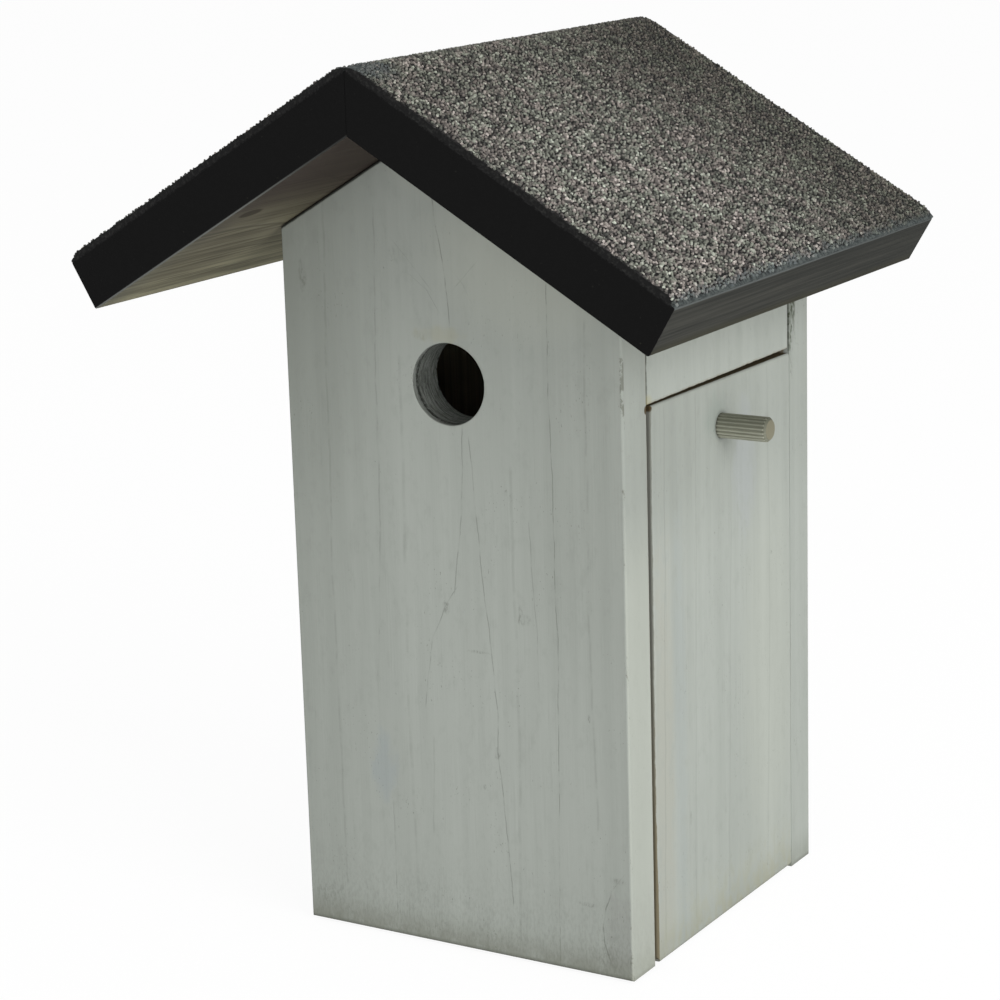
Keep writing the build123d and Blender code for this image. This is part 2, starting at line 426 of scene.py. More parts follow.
FRONT_LIGHT_AND_SHADE = (
    (0.42, WASH_PALE, (36.0, 284.0), (40.0, 30.0)),
    (0.36, WASH_PALE, (-4.0, 320.0), (18.0, 16.0)),
    (0.14, WASH_GRAIN_AND_SHADE, (-76.0, 232.0), (36.0, 52.0)),
    (0.1, WASH_GRAIN_AND_SHADE, (68.0, 186.0), (38.0, 60.0)),
)
FRONT_LINES = (
    (0.5, 1.0, [(44.2, 292), (43.9, 267), (44.6, 170), (45.2, 128), (43.0, 4)]),
    (0.5, 1.1, [(-5.0, 306), (-4.2, 296), (-0.2, 272), (1.8, 250)]),
    (0.3, 1.0, [(-22.7, 285), (-7.5, 269)]),
    (0.3, 1.0, [(12.0, 278), (4.6, 270)]),
    (0.45, 1.1, [(5.2, 214), (3.6, 182), (-0.4, 150), (-5.2, 143), (-11.8, 129), (-15.7, 102)]),
    (0.45, 1.1, [
        (8.2, 210), (9.6, 187), (12.2, 158), (14.9, 130), (17.6, 102), (17.0, 86), (19.8, 59), (22.3, 24),
    ]),
    (0.3, 1.1, [(33.5, 181), (35.9, 141), (36.0, 114)]),
    (0.26, 1.6, [(-31.7, 297), (-34.7, 161), (-38.2, 106)]),
    (0.26, 1.2, [(-32.8, 57), (-32.9, 11)]),
    (0.24, 1.2, [(-12.6, 87), (-14.1, 49)]),
    (0.65, 1.1, [(71.8, 44), (67.2, 38), (64.2, 30), (62.8, 22), (63.2, 15), (65.7, 8)]),
    (0.3, 0.8, [(-24.4, 276.0), (-16.4, 273.4), (-8.9, 268.1), (-4.2, 260.7)]),
    (0.26, 0.8, [(3.1, 275.7), (7.8, 270.7), (10.7, 265.1)]),
    (0.2, 2.2, [(-55.0, 300), (-58.0, 150), (-57.0, 20)]),
    (0.2, 2.2, [(60.0, 260), (59.0, 140), (61.5, 60)]),
    (0.16, 3.0, [(-22.0, 240), (-24.0, 100), (-22.0, 10)]),
    (0.16, 3.0, [(26.0, 200), (27.0, 90), (25.0, 10)]),
)
FRONT_MARKS = (
    (0.55, (-4.8, 142.8), (1.4, 2.4)),
    (0.5, (17.0, 86.0), (1.3, 2.2)),
    (0.4, (31.0, 142.0), (2.6, 2.2)),
    (0.4, (29.0, 145.0), (1.0, 3.0)),
    (0.5, (10.2, 126.3), (4.6, 0.6)),
    (0.5, (10.5, 71.0), (0.6, 1.1)),
    (0.5, (58.3, 106.0), (0.5, 1.4)),
    (0.5, (56.5, 29.8), (3.6, 0.9)),
    (0.45, (-66.2, 270.0), (1.8, 6.0)),
    (0.6, (69.6, 41.5), (3.0, 1.5)),
    (0.16, (-20.0, 281.0), (5.0, 3.0)),
    (0.16, (-66.0, 13.0), (7.0, 5.0)),
    (0.2, (66.0, 9.0), (8.0, 5.0)),
    (0.2, (-12.0, 250.0), (3.0, 1.6)),
)
FRONT_STAINS = (
    (0.3, tone(146, 157, 164), (-36.5, 72.0), (5.5, 12.0)),
    (0.22, tone(166, 160, 120), (-3.3, 251.0), (10.0, 3.0)),
    (0.12, tone(116, 108, 108), (70.5, 20.0), (6.5, 17.0), 0.5),
)
NICK_TONE = tone(84, 84, 70)
HIGH_NICKS = ((0.218, 0.224), (0.245, 0.250))
LOW_NICKS = (0.013, 0.018)
SPLINTERED = tone(70, 58, 36)
FRONT_CORNER = ((-62.4, 224.6), (1.3, 1.7), 0.4)
ROOF_PAINTED_SHADOW = tone(34, 34, 28)
RING_DARK = tone(84, 88, 82)
RING_LIGHT = tone(140, 144, 138)
TORN_DARK = tone(42, 44, 40)
TORN_LINE = ((0.0030, 0.0036), (0.0044, 0.0054))
MOUTH_PALE = tone(150, 154, 148)
PITTED = tone(56, 58, 54)
HOLE_INNER_SHADE = tone(14, 14, 13)

washed_front, tree, place = new_material("washed_front")
across, deep, height = axes_of(tree, place)
colour, relief, cloud = wash_base(tree, place, 4)
ragged = swing_of(tree, cloud, 5.0)
specks = speck_mask(tree, place)
# Painted shade darkens the board's upper left part and, more lightly, its right part.
left_painted_shade = between(tree, across, -HALF_WIDTH, -0.015, 1.0, 0.0)
left_painted_shade = product_of(tree, left_painted_shade, between(tree, height, 0.06, 0.27, 0.14, 0.36))
colour = blended(tree, left_painted_shade, colour, WASH_GRAIN_AND_SHADE)
colour = blended(tree, between(tree, across, 0.02, HALF_WIDTH, 0.0, 0.11), colour, WASH_GRAIN_AND_SHADE)
# Painted light and shade patches.
colour = patched(tree, across, height, 0.0, colour, FRONT_LIGHT_AND_SHADE)
broken = between(tree, grain_noise(tree, place, (30.0, 30.0, 130.0), (5, 1, 2)), 0.36, 0.58, 0.15, 1.0)
colour = lined(tree, across, height, line_wander(tree, place, 1), colour, FRONT_LINES, broken)
colour = marked(tree, across, height, ragged, specks, colour, FRONT_MARKS)
colour = patched(tree, across, height, ragged, colour, FRONT_STAINS)
colour = foot_dirt(tree, height, cloud, colour, front_low.z)
mildew = between(tree, height, 0.004, 0.05, 0.2, 0.0)
colour = laid_over(tree, colour, WASH_MARK, specks, mildew)

# Painted shadow darkens the board where it meets the roof, and its right arris is nicked.
drop = product_of(tree, either_way(tree, across), math.tan(ROOF_PITCH))
under_roof = difference_of(tree, difference_of(tree, RIDGE_UNDERSIDE, drop), height)
roof_shadow = between(tree, sum_of(tree, under_roof, product_of(tree, cloud, 0.0008)), 0.0016, 0.0024, 0.9, 0.0)
colour = blended(tree, roof_shadow, colour, ROOF_PAINTED_SHADOW)
# Painted light on the lower part of the right side face, painted shade on its upper part.
on_edge = between(tree, across, HALF_WIDTH - 0.0007, HALF_WIDTH - 0.0002)
side_painted_light = between(tree, height, 0.15, 0.2, 0.4, 0.0)
colour = laid_over(tree, colour, WASH_PALE, on_edge, side_painted_light)
side_painted_shade = between(tree, height, 0.16, 0.2, 0.0, 0.04)
colour = laid_over(tree, colour, WASH_GRAIN_AND_SHADE, on_edge, side_painted_shade)
nick = grain_noise(tree, place, (420.0, 420.0, 210.0), (1, 2, 3), 5.0, 0.75)
corner_out = difference_of(tree, across, deep)
arris_out = HALF_WIDTH - FRONT_FACE
at_arris = between(tree, corner_out, arris_out - 0.0013, arris_out - 0.0009)
high_nicks = between(tree, height, *HIGH_NICKS[0])
high_nicks = product_of(tree, high_nicks, between(tree, height, *HIGH_NICKS[1], 1.0, 0.0))
low_nicks = between(tree, height, *LOW_NICKS, 1.0, 0.0)
where = product_of(tree, larger_of(tree, high_nicks, product_of(tree, low_nicks, 0.6)), 0.13)
nicked = between(tree, sum_of(tree, nick, where), 0.58, 0.7, 0.0, 0.6)
colour = laid_over(tree, colour, NICK_TONE, at_arris, nicked)
broken_corner = spot(tree, deep, height, 0.0, *FRONT_CORNER)
near_face = between(tree, across, HALF_WIDTH - 0.003, HALF_WIDTH - 0.0025)
colour = laid_over(tree, colour, SPLINTERED, broken_corner, near_face)

# The wall of the hole shows the bit's rings and a torn line; painted shade darkens its inner rim.
off_x = difference_of(tree, across, HOLE_X)
off_z = difference_of(tree, height, HOLE_Z)
radius = distance_of(tree, off_x, off_z)
in_hole = between(tree, radius, HOLE_RADIUS + 0.0001, HOLE_RADIUS + 0.0002, 1.0, 0.0)
rings = grain_noise(tree, place, (150.0, 1500.0, 150.0), (2, 2, 2), 4.0, 0.7)
rough_wall = grain_noise(tree, place, (700.0, 900.0, 700.0), (4, 4, 4), 3.0)
wall = blended(tree, between(tree, rings, 0.36, 0.62), RING_DARK, RING_LIGHT)
wall_depth = difference_of(tree, deep, FRONT_FACE)
wall_depth = sum_of(tree, wall_depth, product_of(tree, rough_wall, 0.0016))
torn = between(tree, wall_depth, *TORN_LINE[0])
torn = product_of(tree, torn, between(tree, wall_depth, *TORN_LINE[1], 1.0, 0.0))
wall = laid_over(tree, wall, TORN_DARK, torn, between(tree, rough_wall, 0.36, 0.52, 0.2, 0.85))
wall = blended(tree, between(tree, wall_depth, 0.0024, 0.0032, 0.35, 0.0), wall, MOUTH_PALE)
wall = laid_over(tree, wall, PITTED, between(tree, rough_wall, 0.56, 0.66), 0.4)
# Painted shade darkens the deepest part of the hole's wall.
rim_depth = sum_of(tree, wall_depth, product_of(tree, rough_wall, 0.003))
wall = blended(tree, between(tree, rim_depth, BOARD + 0.0016, BOARD + 0.002), wall, HOLE_INNER_SHADE)
colour = blended(tree, in_hole, colour, wall)
wall_relief = product_of(tree, sum_of(tree, rings, rough_wall), 3.0)
relief = sum_of(tree, relief, product_of(tree, in_hole, wall_relief))
colour = raw_inside(tree, place, deep, -1.0, -FRONT_FACE, colour, 4)
wood_surface(tree, colour, relief)
finish_node("front_board", washed_front)

# Back board and left side board
# The same planed board and wash. The back is as wide as the front and stands
# flush with the roof's rear ends, and the left side is nailed between the two.

BACK_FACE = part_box("back_board")[1].y
ALGAE = tone(58, 66, 44)
ALGAE_PLACE = ((62.0, 248.0), (5.5, 27.0))

washed_back, tree, place = new_material("washed_back")
across, deep, height = axes_of(tree, place)
colour, relief, cloud = wash_base(tree, place, 2)
ragged = swing_of(tree, cloud, 6.0)
on_side = between(tree, across, HALF_WIDTH - 0.001, HALF_WIDTH - 0.0004)
# Painted shade darkens the top of the side face under the eave.
colour = laid_over(tree, colour, WASH_GRAIN_AND_SHADE, on_side, between(tree, height, 0.15, 0.2, 0.0, 0.17))
green = spot(tree, deep, height, ragged, *ALGAE_PLACE)
crumbs = between(tree, grain_noise(tree, place, (520.0, 520.0, 380.0), (7, 7, 7), 4.0), 0.42, 0.58, 0.45, 1.0)
colour = laid_over(tree, colour, ALGAE, product_of(tree, green, crumbs), on_side)
colour = foot_dirt(tree, height, cloud, colour, 0.0, 0.6)
bare = raw_inside(tree, place, deep, 1.0, BACK_FACE, colour, 2)
in_joint = between(tree, across, HALF_WIDTH - 0.003, HALF_WIDTH - 0.002)
wood_surface(tree, blended(tree, in_joint, bare, colour), relief)
finish_node("back_board", washed_back)

LEFT_LINES = (
    (0.45, 1.2, [(-31.0, 300), (-29.0, 180), (-33.0, 60), (-32.0, 4)]),
    (0.4, 1.2, [(-8.0, 290), (-12.0, 200), (-5.0, 120), (-9.0, 30)]),
    (0.4, 1.3, [(22.0, 240), (26.0, 150), (21.0, 40)]),
    (0.3, 1.3, [(44.0, 295), (46.0, 160), (43.0, 10)]),
)

washed_left, tree, place = new_material("washed_left")
across, deep, height = axes_of(tree, place)
colour, relief, cloud = wash_base(tree, place, 3)
colour = lined(tree, deep, height, line_wander(tree, place, 2), colour, LEFT_LINES)
colour = foot_dirt(tree, height, cloud, colour, 0.0)
colour = raw_inside(tree, place, across, -1.0, HALF_WIDTH, colour, 3)
wood_surface(tree, colour, relief)
finish_node("left_side_board", washed_left)

# Strip above the door
# A short piece of the same board, nailed under the right eave. Its sawn lower
# edge is raw, and dirt sits in the seam behind it.

strip_low, strip_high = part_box("right_top_strip")
SAWN_EDGE = tone(74, 64, 42)
SAWN_STAIN = tone(120, 104, 70)
SEAM_DARK = tone(52, 58, 40)
STRIP_END = tone(84, 86, 78)
STRIP_STAIN = (0.35, tone(168, 160, 110), (-60.5, 227.5), (3.0, 2.4))

washed_strip, tree, place = new_material("washed_strip")
across, deep, height = axes_of(tree, place)
colour, relief, cloud = wash_base(tree, place, 5, 0.8)
uneven = swing_of(tree, cloud, 0.002)
up = sum_of(tree, difference_of(tree, height, strip_low.z), uneven)
colour = blended(tree, between(tree, up, 0.0004, 0.0014, 0.3, 0.0), colour, SAWN_STAIN)
colour = blended(tree, between(tree, up, 0.0002, 0.0005, 1.0, 0.0), colour, SAWN_EDGE)
to_front = sum_of(tree, difference_of(tree, deep, strip_low.y), uneven)
colour = blended(tree, between(tree, to_front, 0.0002, 0.0009, 0.85, 0.0), colour, STRIP_END)
to_back = sum_of(tree, difference_of(tree, strip_high.y, deep), uneven)
colour = blended(tree, between(tree, to_back, 0.0002, 0.001, 0.9, 0.0), colour, SEAM_DARK)
colour = patched(tree, deep, height, 0.0, colour, [STRIP_STAIN])
colour = raw_inside(tree, place, across, 1.0, HALF_WIDTH, colour, 5)
wood_surface(tree, colour, relief)
finish_node("right_top_strip", washed_strip)

# Hinge pins
# Two plain steel pins, driven into the end boards, that the door turns on.

STEEL_BRIGHT = tone(150, 150, 148)
STEEL_DULL = tone(110, 104, 96)

pin_steel, tree, place = new_material("pin_steel")
scratch = grain_noise(tree, place, (900.0, 60.0, 900.0))
colour = blended(tree, between(tree, scratch, 0.4, 0.7), STEEL_BRIGHT, STEEL_DULL)
relief = part_node(tree, "ShaderNodeBump", {"Strength": 0.2, "Distance": 0.0001, "Height": scratch})
shader = part_node(
    tree, "ShaderNodeBsdfPrincipled",
    {"Base Color": colour, "Metallic": 1.0, "Roughness": 0.4, "Normal": relief.outputs[0]},
)
part_node(tree, "ShaderNodeOutputMaterial", {"Surface": shader.outputs[0]})
for name in ("hinge_pin_front", "hinge_pin_back"):
    finish_node(name, pin_steel)

# Door
# One washed board, cut a little out of square, darkened with painted shade
# towards its top. Its front edge, seen through the gap, is darkened with dirt
# and painted shade and browner at the foot; its sawn top edge is raw, and
# the joint at its back is so tight that the wash has closed it.

door_low, door_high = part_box("door")
FRONT_EDGE_LEAN = 0.0013 / (door_high.z - door_low.z)
TOP_EDGE_LEAN = -0.0099
TOP_EDGE_DROP = 0.0006
TOP_BEVEL = 0.0009
DOOR_EDGE_DIRT_AND_SHADE = tone(128, 130, 122)
DOOR_EDGE_BROWN = tone(116, 109, 88)
DOOR_STREAKS = (
    (0.3, tone(170, 166, 150), (-52.0, 78.0), (8.5, 88.0)),
    (0.22, tone(154, 164, 166), (-38.0, 90.0), (5.0, 90.0)),
)
DOOR_PATCHES = (
    (0.13, WASH_GRAIN_AND_SHADE, (-46.0, 204.0), (24.0, 30.0)),
    (0.28, WASH_PALE, (42.0, 95.0), (24.0, 80.0)),
)
DOOR_LILAC = (0.22, tone(168, 172, 182), (20.0, 185.0), (9.0, 26.0))
DOOR_LINES = (
    (0.18, 2.0, [(-48.0, 222), (-50.0, 120), (-53.0, 10)]),
    (0.14, 2.0, [(-22.0, 222), (-24.0, 110), (-27.0, 10)]),
    (0.12, 2.0, [(8.0, 190), (6.0, 100), (3.0, 10)]),
    (0.14, 2.0, [(41.0, 222), (43.0, 120), (39.0, 10)]),
)
DOOR_MARKS = (
    (0.5, (44.1, 143.9), (0.8, 0.8)),
    (0.5, (63.0, 62.4), (0.7, 0.9)),
    (0.3, (21.7, 89.9), (0.9, 0.9)),
    (0.4, (0.7, 45.6), (0.9, 1.4)),
    (0.4, (-17.6, 30.6), (1.4, 1.0)),
    (0.3, (-30.0, 52.0), (0.8, 2.4)),
)
DOOR_CORNER = ((-59.3, 224.6), (1.9, 2.0), 0.4)
FOOT_STAIN = tone(170, 166, 128)
PEG_WET = (0.2, tone(120, 138, 128), (-5.0, 211.0), (8.5, 9.0))
PEG_SHADOW_ON_DOOR = (0.75, tone(52, 52, 44), (0.0, 206.3), (5.3, 5.3))

washed_door, tree, place = new_material("washed_door")
across, deep, height = axes_of(tree, place)
colour, relief, cloud = wash_base(tree, place, 6, 1.3)
ragged = swing_of(tree, cloud, 4.0)
# Painted shade darkens the door towards its top, under the eave.
colour = blended(tree, between(tree, height, 0.15, 0.2, 0.0, 0.15), colour, WASH_GRAIN_AND_SHADE)
colour = patched(tree, deep, height, ragged, colour, DOOR_STREAKS)
colour = patched(tree, deep, height, 0.0, colour, DOOR_PATCHES)
colour = patched(tree, deep, height, ragged, colour, [DOOR_LILAC])
colour = lined(tree, deep, height, line_wander(tree, place, 3), colour, DOOR_LINES)
colour = marked(tree, deep, height, ragged, speck_mask(tree, place), colour, DOOR_MARKS)
colour = patched(tree, deep, height, ragged, colour, [PEG_WET])
# Painted shadow darkens the door round the peg's root.
colour = patched(tree, deep, height, 0.0, colour, [PEG_SHADOW_ON_DOOR])
colour = foot_dirt(tree, height, cloud, colour, door_low.z, 0.5)
foot_stain = between(tree, height, 0.002, 0.03, 0.25, 0.0)
colour = laid_over(tree, colour, FOOT_STAIN, foot_stain, between(tree, cloud, 0.4, 0.6))

# The front edge, darkened with dirt and painted shade, the lost corner and the raw top edge.
front_edge = sum_of(tree, product_of(tree, height, FRONT_EDGE_LEAN), door_low.y)
uneven = swing_of(tree, cloud, 0.001)
from_edge = sum_of(tree, difference_of(tree, deep, front_edge), uneven)
from_edge = difference_of(tree, from_edge, between(tree, height, 0.01, 0.07, 0.0009, 0.0))
edge = blended(tree, between(tree, height, 0.03, 0.15), DOOR_EDGE_BROWN, DOOR_EDGE_DIRT_AND_SHADE)
colour = blended(tree, between(tree, from_edge, 0.0001, 0.0005, 1.0, 0.0), colour, edge)
broken_corner = spot(tree, deep, height, 0.0, *DOOR_CORNER)
colour = blended(tree, broken_corner, colour, SPLINTERED)
top_edge = sum_of(tree, product_of(tree, deep, TOP_EDGE_LEAN), door_high.z - TOP_EDGE_DROP)
to_top = sum_of(tree, difference_of(tree, top_edge, height), product_of(tree, uneven, 0.5))
behind_face = difference_of(tree, HALF_WIDTH - TOP_BEVEL, across)
sawn = between(tree, to_top, 0.0, 0.0006, 1.0, 0.0)
colour = laid_over(tree, colour, SAWN_EDGE, sawn, between(tree, behind_face, -0.0003, 0.0003))
colour = raw_inside(tree, place, across, 1.0, HALF_WIDTH, colour, 6)
wood_surface(tree, colour, relief)
finish_node("door", washed_door)


def joint_film(name, low, high, material, body):
    """A thin film of paint or wash standing in a joint between two corners."""
    mesh = bpy.data.meshes.new(name)
    shape = bmesh.new()
    bmesh.ops.create_cube(shape, size=1.0)
    for corner in shape.verts:
        corner.co = [least if at < 0 else most for at, least, most in zip(corner.co, low, high)]
    shape.to_mesh(mesh)
    shape.free()
    mesh.materials.append(material)
    film = bpy.data.objects.new(name, mesh)
    bpy.context.scene.collection.objects.link(film)
    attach(film, body)


# The wash that fills the tight joint at the door's back is a film stuck to the
# door's edge, just inside its face.
SEAM_FILM = 0.0002
SEAM_FILM_DEPTH = 0.0008
SEAM_SET_BACK = 0.00015
film_low = (HALF_WIDTH - TOP_BEVEL - SEAM_FILM_DEPTH, door_high.y - 0.0001, door_low.z + 0.004)
film_high = (HALF_WIDTH - SEAM_SET_BACK, door_high.y + SEAM_FILM, door_high.z - 0.0024)
joint_film("door_seam_wash", film_low, film_high, washed_door, "side_door")

# Door peg
# A fluted dowel glued through the door as its handle, greyed by weather,
# with painted shade in its flutes and painted shadow at its root. It is
# darker towards the top.

PEG_RADIUS = 0.005
peg_low, peg_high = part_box("door_peg")
PEG_HEIGHT = (peg_low.z + peg_high.z) / 2
PEG_DARK = tone(116, 117, 102)
PEG_LIGHT = tone(164, 165, 150)
PEG_TOP_DARK = tone(64, 68, 54)
PEG_TIP = tone(128, 124, 104)
PEG_ROOT_SHADOW = tone(46, 46, 38)

peg_wood, tree, place = new_material("peg_wood")
across, deep, height = axes_of(tree, place)
fibre = grain_noise(tree, place, (110.0, 1500.0, 1500.0), (0, 0, 0), 5.0, 0.65)
rise = difference_of(tree, height, PEG_HEIGHT)
# Painted shade darkens the flutes; the crests stay lighter.
crest = between(tree, distance_of(tree, rise, deep), PEG_RADIUS - 0.0004, PEG_RADIUS - 0.0001)
shade = sum_of(tree, product_of(tree, crest, 0.55), product_of(tree, fibre, 0.8))
colour = blended(tree, between(tree, shade, 0.2, 1.0), PEG_DARK, PEG_LIGHT)
# The peg is darker towards the top.
top_darker = between(tree, rise, -0.003, PEG_RADIUS, 0.0, 0.72)
colour = laid_over(tree, colour, PEG_TOP_DARK, top_darker, between(tree, fibre, 0.3, 0.7, 0.6, 1.0))
tip = between(tree, across, peg_high.x - 0.0002, peg_high.x - 0.00005)
colour = laid_over(tree, colour, PEG_TIP, tip, 0.8)
# Painted shadow darkens the peg where it meets the door.
root_shadow = between(tree, across, HALF_WIDTH - 0.0005, HALF_WIDTH + 0.001, 0.7, 0.0)
colour = blended(tree, root_shadow, colour, PEG_ROOT_SHADOW)
wood_surface(tree, colour, sum_of(tree, fibre, crest), roughness=0.75, depth=0.00012)
finish_node("door_peg", peg_wood)

# Roof boards
# Two boards mitred at the ridge. Their ends are painted black, the eave edges
# are stained dark, and the underside is bare and weathered. Painted shade
# darkens the underside towards the ridge and the eave edges towards the rear.

roof_low, roof_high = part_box("roof_board_left")
ROOF_FRONT = roof_low.y
ROOF_BACK = roof_high.y
ROOF_BOARD = 0.0203
END_PAINT = tone(14, 14, 14)
END_PAINT_WORN = tone(15, 15, 15)
END_ARRIS = tone(44, 44, 44)
STAIN_DARK_AND_REAR_SHADE = tone(46, 47, 44)
STAIN_LIGHT = tone(66, 66, 61)
STAIN_OLIVE = tone(64, 62, 42)
UNDER_DARK = tone(116, 112, 92)
UNDER_LIGHT = tone(156, 152, 126)
UNDER_RIDGE_SHADE = tone(66, 58, 54)
UNDER_LATE = tone(78, 74, 60)
UNDER_GREY = tone(84, 84, 78)
UNDER_SWIRL = tone(58, 54, 44)
UNDER_TANNED = tone(72, 66, 56)
UNDER_KNOT = tone(48, 42, 34)
LAPPED_FELT = tone(93, 97, 96)
ARRIS_BARE = tone(118, 120, 116)
TANNED_PLACE = ((88.0, -112.0), (16.0, 26.0))
KNOT_PLACES = {-1: ((-54.5, -128.0), (2.6, 6.0)), 1: ((66.0, -30.0), (3.0, 6.0))}
UNDER_LINES = (
    (0.34, 3.4, tone(170, 166, 142), [(80.2, -128), (80.6, -110), (81.1, -96), (83.6, -67)]),
    (0.3, 3.0, tone(158, 154, 136), [(61.0, -152), (65.0, -126), (68.9, -101), (71.0, -70)]),
    (0.5, 3.6, tone(60, 58, 48), [(67.0, -146), (67.4, -117), (72.5, -84)]),
    (0.45, 3.0, tone(60, 58, 48), [(90.0, -140), (87.0, -112), (90.0, -80), (96.0, -30)]),
    (0.4, 2.6, tone(64, 60, 50), [(74.0, -140), (75.5, -100), (79.0, -30)]),
    (0.4, 3.0, tone(84, 62, 54), [(14.0, -120), (20.0, -100), (27.0, -84)]),
    (0.4, 3.0, tone(40, 36, 34), [(24.0, -130), (33.0, -108), (42.0, -84)]),
)


def roof_board_material(name, side, seed):
    """Black ends, a stained eave and a bare underside on one roof board."""
    material, tree, place = new_material(name)
    across, deep, height = axes_of(tree, place)
    under, streak = bare_wood(tree, place, "Y", UNDER_DARK, UNDER_LIGHT, seed)
    stain, stain_streak = bare_wood(tree, place, "Y", STAIN_DARK_AND_REAR_SHADE, STAIN_LIGHT, seed + 2)
    out = product_of(tree, across, float(side))

    late_wood = grain_noise(tree, place, (420.0, 16.0, 420.0), (seed, 5, 1), 4.0, 0.6)
    under = blended(tree, between(tree, late_wood, 0.5, 0.64, 0.0, 0.5), under, UNDER_LATE)
    for strength, width, line_tone, points in UNDER_LINES:
        line = grain_line(tree, out, deep, 0.0, points, width)
        line = product_of(tree, line, between(tree, streak, 0.35, 0.6, 0.4, 1.0))
        under = laid_over(tree, under, line_tone, line, strength)
    from_front = sum_of(tree, deep, product_of(tree, late_wood, 0.012))
    greyed = between(tree, from_front, ROOF_FRONT + 0.006, ROOF_FRONT + 0.03, 0.5, 0.0)
    under = blended(tree, greyed, under, UNDER_GREY)
    # Painted shade darkens the underside towards the ridge.
    under = blended(tree, between(tree, out, 0.03, 0.098, 0.95, 0.0), under, UNDER_RIDGE_SHADE)
    swirl = grain_noise(tree, place, (60.0, 11.0, 60.0), (seed, 2, 2), 4.0)
    under = blended(tree, between(tree, swirl, 0.5, 0.7, 0.0, 0.4), under, UNDER_SWIRL)
    bent = swing_of(tree, swirl, 2.4)
    under = laid_over(tree, under, UNDER_TANNED, spot(tree, out, deep, bent, *TANNED_PLACE), 0.4)
    knot = spot(tree, across, deep, bent, *KNOT_PLACES[side], 0.5)
    under = laid_over(tree, under, UNDER_KNOT, knot, 0.7)

    drop = product_of(tree, out, math.tan(ROOF_PITCH))
    layer = difference_of(tree, sum_of(tree, height, drop), RIDGE_UNDERSIDE)
    layer = product_of(tree, layer, math.cos(ROOF_PITCH))
    stain = blended(tree, between(tree, layer, 0.0008, 0.005, 0.4, 0.0), stain, STAIN_OLIVE)
    lapped = sum_of(tree, layer, product_of(tree, stain_streak, 0.0008))
    lapped = between(tree, lapped, ROOF_BOARD - 0.0007, ROOF_BOARD - 0.0003, 0.0, 0.9)
    stain = blended(tree, lapped, stain, LAPPED_FELT)
    # Painted shade darkens the eave edge towards the rear.
    stain = blended(tree, between(tree, deep, -0.06, 0.08, 0.0, 0.3), stain, STAIN_DARK_AND_REAR_SHADE)
    colour = blended(tree, between(tree, layer, 0.0001, 0.0005, 1.0, 0.0), stain, under)

    paint_noise = grain_noise(tree, place, (500.0, 500.0, 500.0), (seed, 0, 0))
    paint = blended(tree, between(tree, paint_noise, 0.4, 0.7), END_PAINT, END_PAINT_WORN)
    arris = between(tree, layer, ROOF_BOARD - 0.0007, ROOF_BOARD - 0.0003, 0.0, 0.5)
    paint = laid_over(tree, paint, END_ARRIS, arris, between(tree, streak, 0.4, 0.6))
    if side < 0:
        rubbed = between(tree, layer, 0.0003, 0.0007, 0.8, 0.0)
        paint = laid_over(tree, paint, ARRIS_BARE, rubbed, between(tree, out, 0.0, 0.06, 0.2, 1.0))
    half = (ROOF_BACK - ROOF_FRONT) / 2
    reach = either_way(tree, difference_of(tree, deep, (ROOF_FRONT + ROOF_BACK) / 2))
    run = sum_of(tree, reach, swing_of(tree, paint_noise, 0.0016))
    colour = blended(tree, between(tree, run, half - 0.0007, half - 0.0003), colour, paint)
    wood_surface(tree, colour, sum_of(tree, streak, stain_streak), roughness=0.7, sheen=0.08)
    return material


painted_left = roof_board_material("roof_board_left", -1, 7)
finish_node("roof_board_left", painted_left)
finish_node("roof_board_right", roof_board_material("roof_board_right", 1, 8))

# Paint has closed the front of the mitre, as a film across the joint.
RIDGE_FILM = 0.00015
film_low = (-RIDGE_FILM, ROOF_FRONT + 0.0001, RIDGE_UNDERSIDE + 0.0005)
film_high = (RIDGE_FILM, ROOF_FRONT + 0.0006, roof_high.z - 0.0003)
joint_film("ridge_seam_paint", film_low, film_high, painted_left, "box")

# Roof felt
# One sheet of bitumen felt, bent over the ridge, its edges cut flush with the
# boards and thinned at the eaves, its face covered in crushed mineral.

felt_low, felt_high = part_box("roof_felt")
FELT_BASE = 0.0024
FELT_LIP = 0.0008
FELT_BEVEL = 0.005
FELT_BEND = 0.0118
FELT_STEP = 0.003
FINE_STEP = 0.001
FINE_NEAR_RIDGE = 0.01
LAST_STEP = 0.0004
FELT_SINK = 0.0001
FELT_WAVE = 0.00012
FELT_WAVES = 60
CUT_WAVES = (350, 10)
CUT_LAYER = 3.0
EDGE_WOBBLE = 0.0011
EAVES = {
    -1: -felt_low.x - (ROOF_BOARD + FELT_LIP) * math.sin(ROOF_PITCH),
    1: felt_high.x - (ROOF_BOARD + FELT_LIP) * math.sin(ROOF_PITCH),
}
FELT_BLACK = tone(20, 20, 20)
FELT_DUSTY = tone(62, 62, 60)
FELT_BARE = tone(88, 94, 92)
FELT_BARE_DARK = tone(64, 70, 70)
BARE_MIDDLE = (0.001, -0.139)
BARE_HALF = (0.004, 0.0045)
RUBBED_WIDER = 1.3
RUBBED_LONGER = 1.2


def roof_layer(x, layer):
    """Height of a layer of the roof at x, rounded by the felt's bend."""
    straight = RIDGE_UNDERSIDE + layer / math.cos(ROOF_PITCH) - abs(x) * math.tan(ROOF_PITCH)
    if layer <= ROOF_BOARD or abs(x) >= FELT_BEND * math.sin(ROOF_PITCH):
        return straight
    centre = RIDGE_UNDERSIDE + (layer - FELT_BEND) / math.cos(ROOF_PITCH)
    return centre + math.sqrt(FELT_BEND ** 2 - x ** 2)


